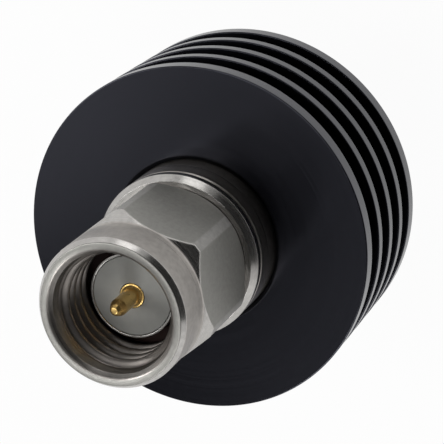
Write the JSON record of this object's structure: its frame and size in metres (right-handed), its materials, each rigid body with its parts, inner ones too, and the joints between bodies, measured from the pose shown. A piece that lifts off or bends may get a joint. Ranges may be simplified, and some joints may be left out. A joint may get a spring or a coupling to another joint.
{
  "type": "rf attenuator",
  "caption": "Coaxial attenuator: threaded plug with a hexagonal coupling nut, round finned black heat sink and threaded jack on one axis.",
  "frame": {"origin": "centre of the jack's end face, which the part stands on", "axes": "+Z along the common axis from the jack to the plug, +X through a flat of the nut at rest, +Y through a corner of the nut"},
  "size_m": [0.0196, 0.0196, 0.0299],
  "materials": {
    "black_anodised": "black anodised, satin",
    "satin_steel": "turned and passivated, satin",
    "spring_steel": "spring temper",
    "gold_plate": "gold plated copper alloy",
    "grey_insulator": "machined, matt",
    "white_insulator": "machined, matt",
    "amber_bead": "moulded",
    "red_rubber": "silicone",
    "brass": "turned",
    "white_ceramic": "fired, opaque"
  },
  "bodies": {
    "attenuator": {"heat_sink": "black_anodised", "body_tube": "satin_steel", "plug_body": "satin_steel", "nut_gasket": "red_rubber", "plug_pin": "gold_plate", "plug_insulator": "grey_insulator", "plug_bead": "amber_bead", "plug_clip": "gold_plate", "ground_sleeve_left": "brass", "ground_sleeve_right": "brass", "attenuator_chip": "white_ceramic", "jack_clip": "gold_plate", "jack_bead": "amber_bead", "jack_insulator": "white_insulator", "jack_contact": "gold_plate", "jack_body": "satin_steel"},
    "nut_ring": {"nut_retaining_ring": "spring_steel"},
    "nut": {"coupling_nut": "satin_steel"}
  },
  "joints": [
    {"name": "nut_float", "type": "slide", "parent": "attenuator", "child": "nut_ring", "axis": [0, 0, 1], "range_m": [0, 0.00025]},
    {"name": "nut_spin", "type": "hinge", "parent": "nut_ring", "child": "nut", "pos_m": [0, 0, 0.0255], "axis": [0, 0, 1], "continuous": true}
  ]
}
